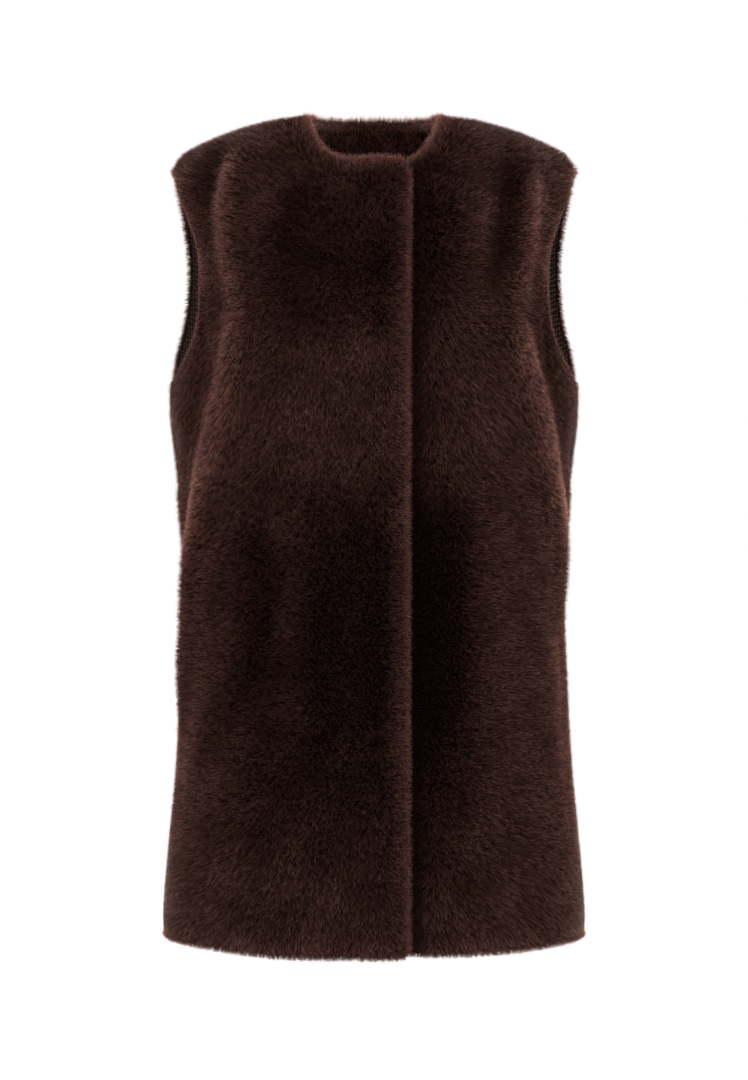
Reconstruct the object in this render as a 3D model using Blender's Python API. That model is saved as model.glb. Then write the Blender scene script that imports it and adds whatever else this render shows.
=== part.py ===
"""Collarless faux fur vest, filled out as if worn, with nothing inside it.

Metres, +Z up. The front faces -Y and the wearer's left is +X. Z is 0 at the underside of the cloth where the
shoulder seams meet the neck, and Y is 0 along the shoulder seams and the side seams.
Each wall is the knitted backing and the pile that stands on it, so a wall's outer face is the fur's tips.
"""

import math

import bpy
import numpy as np

# Cloth
WALL = 0.012            # backing and pile together
UNDERLAP_WALL = 0.007   # where the right front presses the pile of the left one flat
FACING_WALL = 0.006
SEAM_GAP = 0.0003
LAYER_GAP = 0.0042      # between the two fronts where they overlap, which holds the hooks and eyes
EDGE_ROUND = 0.006      # how far a free edge's outer face stops short, so that the pile rolls over it
HEM_ROUND = 0.010
INNER_ROUND = 0.003

# Cut
HEM_Z = -0.864
LEFT_HEM_RISE = 0.006   # the left front is this much shorter at the centre
SIDE_HEM_RISE = 0.007   # the hem curves up to the side seams
UNDERARM_Z = -0.275
NECK_HALF_WIDTH = 0.070
NECK_SQUARENESS = 3.0   # of the front neckline, seen from above
CORNER_ROUND = 0.011    # radius of the fronts' corners at the neck and the hem
FRONT_NECK_REACH = 0.083   # how far the neckline reaches forward of the shoulder seams
BACK_NECK_REACH = 0.068
SHOULDER_ROLL = 0.110   # height over which a panel turns from upright to level at the shoulder
OVERLAP_COLUMNS = (-0.037, -0.026, -0.012, 0.002, 0.015)   # places across the right front, from its edge
UNDERLAP_COLUMNS = (-0.015, -0.002, 0.012, 0.026, 0.040)   # and across the left one, from its hidden edge
OVERLAP_RISE = 0.003    # how proud the right front lies near its edge
GROOVE_END = 0.060      # where the left front has come up again beside that edge
ARMHOLE_SHARE = 0.50    # the armhole's edges lie this share of the depth before and behind the side seam
ARMHOLE_TURN = 0.085    # height over which the armhole's foot rounds out
SQUARENESS = 2.4        # 2 is an ellipse

# Level sections below the underarm, and the depths above it
SECTION_COLUMNS = ("z", "half_width", "front", "back")
SECTIONS = (
    (-0.880, 0.2270, 0.156, 0.150),
    (-0.830, 0.2245, 0.153, 0.146),
    (-0.760, 0.2190, 0.149, 0.140),
    (-0.680, 0.2115, 0.146, 0.134),
    (-0.590, 0.2065, 0.144, 0.129),
    (-0.500, 0.2040, 0.143, 0.126),
    (-0.400, 0.2120, 0.145, 0.125),
    (-0.320, 0.2170, 0.148, 0.127),
    (-0.275, 0.2175, 0.149, 0.129),
    (-0.220, 0.2170, 0.147, 0.131),
    (-0.160, 0.2170, 0.136, 0.131),
    (-0.100, 0.2170, 0.112, 0.127),
    (-0.045, 0.2170, 0.087, 0.122),
    (0.040, 0.2170, 0.080, 0.119),
)

# The line of the shoulder seam, carried on over the neck
SHOULDER_COLUMNS = ("x", "z")
SHOULDER = (
    (-0.040, 0.0320),
    (0.000, 0.0410),
    (0.040, 0.0320),
    (0.074, 0.0150),
    (0.112, 0.0062),
    (0.150, -0.0045),
    (0.189, -0.0210),
    (0.205, -0.0300),
    (0.216, -0.0420),
)

# The armhole's front and back edges, seen from the front
ARMHOLE_COLUMNS = ("z", "front_x", "back_x")
ARMHOLE = (
    (-0.275, 0.2175, 0.2175),
    (-0.262, 0.2100, 0.2185),
    (-0.240, 0.2000, 0.2170),
    (-0.210, 0.1930, 0.2100),
    (-0.170, 0.1900, 0.2050),
    (-0.135, 0.1915, 0.2050),
    (-0.105, 0.1990, 0.2085),
    (-0.075, 0.2090, 0.2130),
    (-0.042, 0.2160, 0.2160),
)

# Folds run down the cloth. Each row is one: a height out of the surface (a trough's is below 0), a width, and
# the points (x, z) it passes through.
FOLD_COLUMNS = ("name", "face", "height", "width", "points")
FOLDS = (
    ("right_shoulder_ridge", "front", 0.006, 0.018,
     ((-0.143, -0.035), (-0.151, -0.100), (-0.146, -0.153), (-0.130, -0.205))),
    ("right_shoulder_trough", "front", -0.005, 0.016,
     ((-0.163, -0.035), (-0.170, -0.080), (-0.172, -0.120))),
    ("right_side_ridge", "front", 0.010, 0.024,
     ((-0.133, -0.215), (-0.146, -0.268), (-0.157, -0.312), (-0.171, -0.368), (-0.180, -0.415),
      (-0.194, -0.470), (-0.198, -0.520))),
    ("right_side_trough", "front", -0.006, 0.030, ((-0.213, -0.330), (-0.212, -0.420), (-0.208, -0.500))),
    ("right_chest_trough", "front", -0.004, 0.024, ((-0.078, -0.090), (-0.078, -0.200))),
    ("right_hip_trough", "front", -0.004, 0.030, ((-0.103, -0.420), (-0.106, -0.560), (-0.150, -0.650))),
    ("right_skirt_ridge", "front", 0.004, 0.030, ((-0.070, -0.400), (-0.070, -0.520), (-0.062, -0.660))),
    ("left_shoulder_trough", "front", -0.006, 0.018, ((0.142, -0.035), (0.127, -0.110), (0.116, -0.185))),
    ("left_shoulder_ridge", "front", 0.006, 0.018, ((0.158, -0.050), (0.154, -0.130), (0.145, -0.200))),
    ("left_side_ridge", "front", 0.010, 0.022,
     ((0.140, -0.215), (0.155, -0.262), (0.169, -0.312), (0.180, -0.368), (0.190, -0.420), (0.199, -0.500))),
    ("left_side_trough", "front", -0.006, 0.030, ((0.213, -0.330), (0.212, -0.420), (0.208, -0.500))),
    ("left_chest_ridge", "front", 0.003, 0.026, ((0.098, -0.080), (0.098, -0.200))),
    ("left_skirt_ridge", "front", 0.005, 0.030, ((0.104, -0.420), (0.112, -0.560), (0.116, -0.680))),
    ("left_skirt_trough", "front", -0.004, 0.026, ((0.066, -0.400), (0.062, -0.520), (0.070, -0.640))),
    ("back_left_ridge", "back", 0.007, 0.030,
     ((0.120, -0.180), (0.132, -0.300), (0.128, -0.460), (0.140, -0.640))),
    ("back_right_ridge", "back", 0.006, 0.028,
     ((-0.128, -0.160), (-0.118, -0.320), (-0.130, -0.520), (-0.150, -0.700))),
    ("back_middle_trough", "back", -0.006, 0.036, ((0.006, -0.200), (-0.010, -0.380), (0.004, -0.620))),
    ("back_waist_ridge", "back", 0.004, 0.026, ((-0.052, -0.330), (-0.060, -0.450), (-0.050, -0.560))),
    ("back_blade_trough", "back", -0.004, 0.022, ((0.158, -0.110), (0.150, -0.200), (0.162, -0.300))),
)
FOLD_FADE = 0.050       # length over which a fold dies away at its ends

# Hooks and eyes between the fronts. Each hook is a wire bent double, sewn to the right front, and its bill
# dips into an eye on the left front.
FASTENER_COLUMNS = ("name", "z")
FASTENERS = (("neck", -0.080), ("chest", -0.232), ("waist", -0.346))
FASTENER_X = 0.012
WIRE = 0.0008           # radius
WIRE_SEAT = 0.0003      # from the wire to the cloth that it is sewn to
EYE_RADIUS = 0.0055
EYE_POINTS = 16
BILL_COLUMNS = ("along", "beside", "dip")   # half of the hook, from its sewn end to the tip of its bill
BILL = (
    (-0.0125, 0.0052, 0.0),
    (-0.0145, 0.0040, 0.0),
    (-0.0140, 0.0022, 0.0),
    (-0.0115, 0.0018, 0.0),
    (-0.0040, 0.0012, 0.0),
    (0.0010, 0.0011, 0.0001),
    (0.0026, 0.0009, 0.0010),
    (0.0031, 0.0000, 0.0020),
)

# How finely the panels are divided
SKIRT_ROWS = 17
ARMHOLE_ROWS = 11
SHOULDER_ROWS = 5
FRONT_COLUMNS = 18
BACK_HALF_COLUMNS = 16
FACING_ROWS = 3         # the facing inside the back neck, in rows of the back


def column(table, names, name):
    """One named column of a table as an array."""
    at = names.index(name)
    return np.array([row[at] for row in table], float)


def smooth(x, xs, ys):
    """A smooth curve through the points (xs, ys), level with its end points past them."""
    xs = np.asarray(xs, float)
    ys = np.asarray(ys, float)
    x = np.clip(x, xs[0], xs[-1])
    chord = np.diff(ys) / np.diff(xs)
    slope = np.concatenate([chord[:1], (chord[1:] + chord[:-1]) / 2, chord[-1:]])
    i = np.clip(np.searchsorted(xs, x, side="right") - 1, 0, len(xs) - 2)
    step = xs[i + 1] - xs[i]
    s = (x - xs[i]) / step
    return (
        ys[i] * (1 + 2 * s) * (1 - s) ** 2
        + slope[i] * step * s * (1 - s) ** 2
        + ys[i + 1] * s * s * (3 - 2 * s)
        - slope[i + 1] * step * s * s * (1 - s)
    )


def ease(x, start, end):
    """0 before start, 1 after end, and a soft step between them."""
    s = np.clip((x - start) / (end - start), 0, 1)
    return s * s * (3 - 2 * s)


def section(name, z):
    return smooth(z, column(SECTIONS, SECTION_COLUMNS, "z"), column(SECTIONS, SECTION_COLUMNS, name))


def shoulder_z(x):
    return smooth(np.abs(x), column(SHOULDER, SHOULDER_COLUMNS, "x"), column(SHOULDER, SHOULDER_COLUMNS, "z"))


def armhole_x(face, z):
    """How far from the middle a panel ends: at the armhole's edge, or at the side seam below it."""
    edge = smooth(z, column(ARMHOLE, ARMHOLE_COLUMNS, "z"), column(ARMHOLE, ARMHOLE_COLUMNS, face + "_x"))
    return np.where(z > UNDERARM_Z, edge, section("half_width", z))


def round_out(rise, height):
    """A quarter circle's sine: 0 at no rise, 1 from this height on."""
    s = np.clip(rise / height, 0, 1)
    return np.sqrt(np.maximum(1 - (1 - s) ** 2, 0))


def half_width(face, z):
    """Half the width of the whole section that a panel is part of. Above the underarm the armhole sets it."""
    out = ARMHOLE_SHARE * round_out(z - UNDERARM_Z, ARMHOLE_TURN)
    return armhole_x(face, z) / (1 - out ** SQUARENESS) ** (1 / SQUARENESS)


def depth(face, x, z):
    """How far a panel lies before or behind the seams."""
    across = np.clip(np.abs(x) / half_width(face, z), 0, 1)
    bow = (1 - across ** SQUARENESS) ** (1 / SQUARENESS)
    return section(face, z) * bow * round_out(shoulder_z(x) - z, SHOULDER_ROLL)


def neck_shape(face):
    """How far the neckline reaches from the shoulder seams, and how square it is seen from above."""
    return (FRONT_NECK_REACH, NECK_SQUARENESS) if face == "front" else (BACK_NECK_REACH, 2)


def neckline_z(face, x):
    """The height of the neckline."""
    reach, square = neck_shape(face)
    want = reach * max(1 - abs(x / NECK_HALF_WIDTH) ** square, 0) ** (1 / square)
    low = shoulder_z(x) - SHOULDER_ROLL
    high = shoulder_z(x)
    for _ in range(40):
        middle = (low + high) / 2
        if depth(face, x, middle) > want:
            low = middle
        else:
            high = middle
    return float(high)


def profile_drop(way):
    """How far below the shoulder line a point lies, at this length down the panel's upright profile."""
    roll = SHOULDER_ROLL * (1 - np.cos(np.clip(way / SHOULDER_ROLL, 0, math.pi / 2)))
    return roll + np.maximum(way - SHOULDER_ROLL * math.pi / 2, 0)


def profile_way(drop):
    """The length down the profile at which a point lies this far below the shoulder line."""
    turned = np.arccos(np.clip(1 - drop / SHOULDER_ROLL, -1, 1))
    return np.where(drop < SHOULDER_ROLL, SHOULDER_ROLL * turned, drop + SHOULDER_ROLL * (math.pi / 2 - 1))


def to_map(face, x, z):
    """A place on a panel as an angle round the body and a length down from the shoulder line."""
    angle = np.arcsin(np.clip(np.abs(x) / half_width(face, z), 0, 1) ** (SQUARENESS / 2))
    return np.stack([np.sign(x) * angle, profile_way(np.maximum(shoulder_z(x) - z, 0))], -1)


def from_map(face, place):
    """The x and z of such a place. Each depends a little on the other, so they are found in a few rounds."""
    angle, way = place[..., 0], place[..., 1]
    share = np.sign(angle) * np.abs(np.sin(angle)) ** (2 / SQUARENESS)
    z = -profile_drop(way)
    for _ in range(30):
        x = half_width(face, z) * share
        z = shoulder_z(x) - profile_drop(way)
    return x, z


def level_places(face, z, start, count):
    """Places across a level section, evenly spaced along its girth from start to the side seam."""
    wide = float(half_width(face, z))
    first = math.copysign(math.asin(abs(start / wide) ** (SQUARENESS / 2)), start)
    angle = np.linspace(first, math.pi / 2, 240)
    x = wide * np.sign(angle) * np.abs(np.sin(angle)) ** (2 / SQUARENESS)
    y = section(face, z) * np.abs(np.cos(angle)) ** (2 / SQUARENESS)
    along = np.concatenate([[0], np.cumsum(np.hypot(np.diff(x), np.diff(y)))])
    return np.interp(np.linspace(0, along[-1], count + 1), along, x)


def yoke_outline(face, start, count):
    """The edges of a panel above the underarm, as places on its map: below, above, middle and outside."""
    rows = ARMHOLE_ROWS + SHOULDER_ROWS
    tip_x, tip_z = SHOULDER[-1]
    below = to_map(face, level_places(face, UNDERARM_Z, start, count), np.full(count + 1, UNDERARM_Z))
    square = neck_shape(face)[1]
    turn = np.linspace(math.asin((start / NECK_HALF_WIDTH) ** (square / 2)), math.pi / 2, count + 1)
    neck_x = NECK_HALF_WIDTH * np.sin(turn) ** (2 / square)
    above = to_map(face, neck_x, np.array([neckline_z(face, x) for x in neck_x]))
    middle_z = np.linspace(UNDERARM_Z, neckline_z(face, start), rows + 1)
    middle = to_map(face, np.full(rows + 1, start), middle_z)
    rise = (1 - np.cos(np.linspace(0, math.pi, ARMHOLE_ROWS + 1))) / 2
    armhole_z = UNDERARM_Z + (tip_z - UNDERARM_Z) * rise
    seam_x = np.linspace(tip_x, NECK_HALF_WIDTH, SHOULDER_ROWS + 1)[1:]
    outside = np.concatenate([
        to_map(face, armhole_x(face, armhole_z), armhole_z),
        to_map(face, seam_x, shoulder_z(seam_x)),
    ])
    return below, above, middle, outside


def fill_inside(below, above, middle, outside):
    """A grid of places inside four edges."""
    across = np.linspace(0, 1, len(below))[None, :, None]
    up = np.linspace(0, 1, len(middle))[:, None, None]
    corners = (1 - up) * ((1 - across) * below[0] + across * below[-1])
    corners = corners + up * ((1 - across) * above[0] + across * above[-1])
    level = (1 - up) * below + up * above
    upright = (1 - across) * middle[:, None] + across * outside[:, None]
    return level + upright - corners


def corner_drop(away):
    """How much a rounded corner takes off an edge, at this distance from the other edge."""
    short = np.clip(CORNER_ROUND - away, 0, CORNER_ROUND)
    return CORNER_ROUND - math.sqrt(CORNER_ROUND ** 2 - short ** 2)


def half_panel(face, near, columns, hem_rise):
    """Points of a panel from its middle edge out to its side, as rows from the hem up and columns outwards.
    The last column runs up the side seam, round the armhole and along the shoulder seam to the neck, and the
    last row is the neckline. near holds the places across that stay the same all the way up."""
    count = columns - len(near) + 1
    rows = []
    for z in np.linspace(HEM_Z, UNDERARM_Z, SKIRT_ROWS + 1):
        x = level_places(face, z, near[-1], count)
        rise = hem_rise * (1 - ease(x, 0.05, 0.20)) + SIDE_HEM_RISE * ease(x, 0.08, 0.22)
        rows.append((x, z + rise * (1 - ease(z, HEM_Z, HEM_Z + 0.1))))
    rows += list(zip(*from_map(face, fill_inside(*yoke_outline(face, near[-1], count))[1:])))
    x = np.array([row[0] for row in rows])
    z = np.array([row[1] for row in rows])
    for at in near[-2::-1]:
        drop = corner_drop(at - near[0])
        top = neckline_z(face, at) - drop
        share = np.clip((z[:, 0] - UNDERARM_Z) / (z[-1, 0] - UNDERARM_Z), 0, 1)
        line = z[:, 0] + share * (top - z[-1, 0])
        line[0] += drop
        z = np.concatenate([line[:, None], z], axis=1)
        x = np.concatenate([np.full((len(x), 1), at), x], axis=1)
    y = depth(face, x, z)
    y[:SKIRT_ROWS + 1, -1] = 0
    y[SKIRT_ROWS + ARMHOLE_ROWS:, -1] = 0
    return np.stack([x, -y if face == "front" else y, z], 2)


def normals(points, face):
    """Directions out of the smooth surface. Its depth squared has a slope everywhere, also where it turns
    over the shoulder and round the side."""
    x, z = points[..., 0], points[..., 2]
    step = 0.0005
    slope_x = (depth(face, x + step, z) ** 2 - depth(face, x - step, z) ** 2) / (2 * step)
    slope_z = (depth(face, x, z + step) ** 2 - depth(face, x, z - step) ** 2) / (2 * step)
    out = np.stack([-slope_x, 2 * points[..., 1], -slope_z], -1)
    return out / np.maximum(np.linalg.norm(out, axis=-1, keepdims=True), 1e-12)


def fold_heights(points):
    """How far the folds push each point out of the smooth surface."""
    x, y, z = points[..., 0], points[..., 1], points[..., 2]
    total = np.zeros_like(x)
    for row in FOLDS:
        fold = dict(zip(FOLD_COLUMNS, row))
        path = np.array(sorted(fold["points"], key=lambda p: p[1]))
        path_x = smooth(z, path[:, 1], path[:, 0])
        path_y = depth(fold["face"], path_x, np.clip(z, path[0, 1], path[-1, 1]))
        if fold["face"] == "front":
            path_y = -path_y
        away = (x - path_x) ** 2 + (y - path_y) ** 2
        ends = ease(z, path[0, 1] - FOLD_FADE, path[0, 1] + FOLD_FADE)
        ends = ends * (1 - ease(z, path[-1, 1] - FOLD_FADE / 2, path[-1, 1] + FOLD_FADE / 2))
        total += fold["height"] * np.exp(-away / fold["width"] ** 2) * ends
    return total


def onto_seams(points, seams, face):
    """Puts the points of the seams half a gap from the seams' plane, and keeps the rest off that plane."""
    side = -1 if face == "front" else 1
    y = points[..., 1] * side
    points[..., 1] = side * np.where(seams, SEAM_GAP / 2, np.maximum(y, SEAM_GAP / 2))
    return points


def inward(points, to):
    """The way to the points beside these, at full length unless they are very near."""
    way = to - points
    size = np.maximum(np.linalg.norm(way, axis=-1, keepdims=True), 1e-9)
    return way / size * np.minimum(1, 0.45 * size / EDGE_ROUND)


def edge_ways(points, kinds):
    """The direction away from each free edge at a grid's boundary, and which of its points lie on a seam.
    kinds says what the first and the last column are: the middle edge of a front, or the side of a panel."""
    rows, columns = points.shape[:2]
    tip = SKIRT_ROWS + ARMHOLE_ROWS
    ways = np.zeros_like(points)
    seams = np.zeros((rows, columns), bool)
    ways[0] += inward(points[0], points[1]) * HEM_ROUND / EDGE_ROUND
    ways[-1] += inward(points[-1], points[-2])
    for edge, beside, kind in ((0, 1, kinds[0]), (columns - 1, columns - 2, kinds[1])):
        way = inward(points[:, edge], points[:, beside])
        if kind == "side":
            way[:SKIRT_ROWS + 1] = 0
            way[tip:] = 0
            way[tip] = inward(points[tip, edge], points[tip + 1, edge])
            seams[:SKIRT_ROWS + 1, edge] = True
            seams[tip:, edge] = True
        ways[:, edge] += way
    size = np.linalg.norm(ways, axis=2, keepdims=True)
    return ways / np.maximum(size / (HEM_ROUND / EDGE_ROUND), 1), seams


def ring_of(rows, columns):
    """The boundary of a grid, in order, as pairs of row and column."""
    ring = [(0, c) for c in range(columns)]
    ring += [(r, columns - 1) for r in range(1, rows)]
    ring += [(rows - 1, c) for c in range(columns - 2, -1, -1)]
    ring += [(r, 0) for r in range(rows - 2, 0, -1)]
    return ring


def wall_object(name, outer, inner, middle, material):
    """A closed wall between two grids of points, with one more line of points round its rim."""
    rows, columns = outer.shape[:2]
    count = rows * columns
    ring = ring_of(rows, columns)
    points = np.concatenate([outer.reshape(-1, 3), inner.reshape(-1, 3), [middle[r, c] for r, c in ring]])
    faces = []
    for r in range(rows - 1):
        for c in range(columns - 1):
            a = r * columns + c
            for face in ((a, a + 1, a + 1 + columns), (a, a + 1 + columns, a + columns)):
                faces.append(face)
                faces.append(tuple(count + i for i in reversed(face)))
    for i, (r, c) in enumerate(ring):
        following = (i + 1) % len(ring)
        r2, c2 = ring[following]
        a, b = r * columns + c, r2 * columns + c2
        m, n = 2 * count + i, 2 * count + following
        faces += [(b, a, m), (b, m, n), (n, m, count + a), (n, count + a, count + b)]
    if np.linalg.det(points[faces]).sum() < 0:
        faces = [tuple(reversed(face)) for face in faces]
    mesh = bpy.data.meshes.new(name)
    mesh.from_pydata(points.tolist(), [], faces)
    mesh.materials.append(material)
    mesh.shade_smooth()
    mesh.set_sharp_from_angle(angle=math.radians(50))
    piece = bpy.data.objects.new(name, mesh)
    bpy.context.scene.collection.objects.link(piece)
    return piece


def panel(name, face, points, kinds, push, wall, material):
    """A panel's wall. push moves its outer face out of the smooth surface, and wall is its thickness, point
    by point. It returns its inner points, their directions and its seams, which a facing is made from."""
    outward = normals(points, face)
    points = points + outward * push[..., None]
    ways, seams = edge_ways(points, kinds)
    outer = onto_seams(points + ways * EDGE_ROUND, seams, face)
    inner = onto_seams(points - outward * wall[..., None] + ways * INNER_ROUND, seams, face)
    middle = onto_seams(points - outward * wall[..., None] / 2, seams, face)
    wall_object(name, outer, inner, middle, material)
    return inner, outward, seams


def plain_material(name, colour, roughness):
    material = bpy.data.materials.new(name)
    material.use_nodes = True
    shader = material.node_tree.nodes["Principled BSDF"]
    shader.inputs["Base Color"].default_value = (*colour, 1)
    shader.inputs["Roughness"].default_value = roughness
    material.diffuse_color = (*colour, 1)
    return material


def make_right_front(material):
    """The front that lies on top. It is worked out on the +X side and turned over."""
    points = half_panel("front", np.array(OVERLAP_COLUMNS), FRONT_COLUMNS, 0)
    points[..., 0] *= -1
    push = fold_heights(points) + OVERLAP_RISE * ease(points[..., 0], -0.040, 0)
    wall = np.full(push.shape, WALL)
    panel("right_front", "front", points, ("middle", "side"), push, wall, material)


def make_left_front(material):
    """The front that passes under the other one at the centre."""
    points = half_panel("front", np.array(UNDERLAP_COLUMNS), FRONT_COLUMNS, LEFT_HEM_RISE)
    x = points[..., 0]
    under = 1 - ease(x, UNDERLAP_COLUMNS[-1], GROOVE_END)
    dip = OVERLAP_RISE - WALL - LAYER_GAP
    push = fold_heights(points) + under * dip
    wall = WALL + (UNDERLAP_WALL - WALL) * under
    panel("left_front", "front", points, ("middle", "side"), push, wall, material)


def make_back(material, facing_material):
    """The back, cut in one piece, and the facing that lines its neck."""
    half = half_panel("back", np.array([0.0]), BACK_HALF_COLUMNS, 0)
    points = np.concatenate([half[:, :0:-1] * (-1, 1, 1), half], axis=1)
    push = fold_heights(points)
    wall = np.full(push.shape, WALL)
    inner, outward, seams = panel("back", "back", points, ("side", "side"), push, wall, material)
    part = slice(-FACING_ROWS - 1, None)
    near = onto_seams(inner[part] - outward[part] * SEAM_GAP, seams[part], "back")
    far = onto_seams(near - outward[part] * FACING_WALL, seams[part], "back")
    wall_object("back_neck_facing", near, far, (near + far) / 2, facing_material)


def wire_object(name, points, closed, material):
    """A bent wire."""
    curve = bpy.data.curves.new(name, "CURVE")
    curve.dimensions = "3D"
    curve.bevel_depth = WIRE
    curve.bevel_resolution = 1
    curve.use_fill_caps = not closed
    spline = curve.splines.new("POLY")
    spline.points.add(len(points) - 1)
    for point, place in zip(spline.points, points):
        point.co = (*place, 1)
    spline.use_cyclic_u = closed
    curve.materials.append(material)
    piece = bpy.data.objects.new(name, curve)
    bpy.context.scene.collection.objects.link(piece)
    return piece


def make_fastener(name, z, material):
    """One hook and its eye, laid on the smooth surface that both fronts are made from."""
    x = np.array([[FASTENER_X]])
    place = np.stack([x, -depth("front", x, np.array([[z]])), np.array([[z]])], -1)
    out = normals(place, "front")[0, 0]
    place = place[0, 0] + out * fold_heights(place)[0, 0]
    along = np.cross(out, (0, 0, 1))
    along *= math.copysign(1, along[0]) / np.linalg.norm(along)
    beside = np.cross(along, out)
    eye_depth = WALL - OVERLAP_RISE + LAYER_GAP - WIRE_SEAT - WIRE
    hook_depth = WALL - OVERLAP_RISE + WIRE_SEAT + WIRE
    turns = np.linspace(0, 2 * math.pi, EYE_POINTS, endpoint=False)[:, None]
    eye = place - out * eye_depth + EYE_RADIUS * (np.cos(turns) * along + np.sin(turns) * beside)
    wire_object("eye_" + name, eye, True, material)
    half = np.array(BILL)
    wire = np.concatenate([half, half[-2::-1] * (1, -1, 1)])
    hook = place - out * hook_depth + wire[:, :1] * along + wire[:, 1:2] * beside - wire[:, 2:] * out
    wire_object("hook_" + name, hook, False, material)


def main():
    for old in list(bpy.data.objects):
        bpy.data.objects.remove(old, do_unlink=True)
    pile = plain_material("brown_pile", (0.020, 0.009, 0.007), 0.85)
    dark_pile = plain_material("dark_pile", (0.012, 0.006, 0.005), 0.9)
    make_right_front(pile)
    make_left_front(pile)
    make_back(pile, dark_pile)
    wire = plain_material("covered_wire", (0.016, 0.009, 0.007), 0.5)
    for row in FASTENERS:
        fastener = dict(zip(FASTENER_COLUMNS, row))
        make_fastener(fastener["name"], fastener["z"], wire)


main()
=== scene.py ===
import math

import bpy
import numpy as np
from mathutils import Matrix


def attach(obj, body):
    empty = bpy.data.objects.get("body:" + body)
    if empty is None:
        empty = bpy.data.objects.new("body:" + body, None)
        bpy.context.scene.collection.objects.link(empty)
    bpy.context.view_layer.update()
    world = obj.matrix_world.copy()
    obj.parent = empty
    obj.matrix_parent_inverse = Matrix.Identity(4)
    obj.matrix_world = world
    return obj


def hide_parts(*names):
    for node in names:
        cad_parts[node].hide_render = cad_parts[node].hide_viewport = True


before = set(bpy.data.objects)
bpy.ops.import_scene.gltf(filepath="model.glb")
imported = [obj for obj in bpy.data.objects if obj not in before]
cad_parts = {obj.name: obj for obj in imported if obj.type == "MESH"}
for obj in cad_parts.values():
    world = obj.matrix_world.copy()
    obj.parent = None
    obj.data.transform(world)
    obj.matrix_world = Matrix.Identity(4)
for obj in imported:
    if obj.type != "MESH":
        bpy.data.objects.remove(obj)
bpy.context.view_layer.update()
random = np.random.default_rng(11)

# The cut of the vest
cut = {
    "hemZ": -0.864,
    "leftHemRise": 0.003,      # the left front is shorter at the centre
    "leftHemSpan": (0.05, 0.20),       # from the middle outwards, where that rise runs out
    "sideHemRise": 0.007,
    "sideHemSpan": (0.08, 0.22),
    "hemRiseHeight": 0.1,
    "underarmZ": -0.275,
    "neckHalfWidth": 0.070,
    "neckSquareness": 3.3,
    "cornerRound": 0.011,
    "frontNeckReach": 0.083,
    "backNeckReach": 0.068,
    "shoulderRoll": 0.110,
    "armholeShare": 0.50,
    "armholeTurn": 0.085,
    "squareness": 2.4,
    "overlapEdge": 0.037,      # the right front's edge, past the centre
    "overlapRise": 0.003,
    "overlapRiseSpan": (-0.040, 0),
    "underlapEdge": -0.015,    # the left front's hidden edge
    "underlapEnd": 0.040,
    "grooveEnd": 0.060,        # where the left front has come up again
    "seamGap": -0.0002,        # sewn edges meet, so no light comes through
}

cloth = {
    "wall": 0.012,             # backing and pile together
    "underlapWall": 0.007,     # the pile pressed flat under the other front
    "layerGap": 0.0042,
    "backing": 0.0024,
    "pile": 0.0098,            # the fibres' length, so a pile that leans is lower
    "foldFade": 0.050,
    "foldSpread": 0.4,         # how far the pile opens over a ridge and closes in a trough
    "edgeDraw": 0.0065,        # the backing ends this far inside the tips at a free edge
    "hemDraw": 0.0062,
    "frontArmDraw": 0.0135,
    "backArmDraw": 0.0002,
    "backNeckDraw": 0.0025,
    "drawReach": 0.045,
    "edgeLean": 1.2,           # at a free edge the pile rolls over it
    "edgeRoll": 0.014,
    "armLean": 0.25,           # less so round the arms, where it is trimmed short
    "armTrim": 0.017,
    "backTrim": 0.3,
}

grids = {
    "skirtRows": 74,
    "armholeRows": 30,
    "shoulderRows": 12,
    "frontColumns": 40,
    "nearColumns": 9,          # of those, across the overlap
    "backHalfColumns": 38,
    "facingRows": 7,
    "armStart": (0, 10),       # rows above the side seam over which the armhole's draw begins
    "armEnd": (14, 1),         # and rows below the shoulder's tip over which it ends
    "levelSteps": 400,
    "halvings": 40,
    "settlings": 30,
}

sectionColumns = ("z", "halfWidth", "front", "back")
sections = (
    (-0.880, 0.2270, 0.156, 0.150),
    (-0.830, 0.2245, 0.153, 0.146),
    (-0.760, 0.2190, 0.149, 0.140),
    (-0.680, 0.2115, 0.146, 0.134),
    (-0.590, 0.2065, 0.144, 0.129),
    (-0.500, 0.2040, 0.143, 0.126),
    (-0.400, 0.2120, 0.145, 0.125),
    (-0.320, 0.2170, 0.148, 0.127),
    (-0.275, 0.2175, 0.149, 0.129),
    (-0.220, 0.2170, 0.147, 0.131),
    (-0.160, 0.2170, 0.136, 0.131),
    (-0.100, 0.2170, 0.112, 0.127),
    (-0.045, 0.2170, 0.087, 0.122),
    (0.040, 0.2170, 0.080, 0.119),
)
shoulderColumns = ("x", "z")
shoulder = (
    (-0.040, 0.0320),
    (0.000, 0.0410),
    (0.040, 0.0320),
    (0.074, 0.0150),
    (0.112, 0.0062),
    (0.150, -0.0045),
    (0.189, -0.0210),
    (0.205, -0.0300),
    (0.216, -0.0420),
)
armholeColumns = ("z", "front", "back")
armhole = (
    (-0.275, 0.2175, 0.2175),
    (-0.262, 0.2100, 0.2185),
    (-0.240, 0.2000, 0.2170),
    (-0.210, 0.1930, 0.2100),
    (-0.170, 0.1900, 0.2050),
    (-0.135, 0.1915, 0.2050),
    (-0.105, 0.1990, 0.2085),
    (-0.075, 0.2090, 0.2130),
    (-0.042, 0.2160, 0.2160),
)

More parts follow.
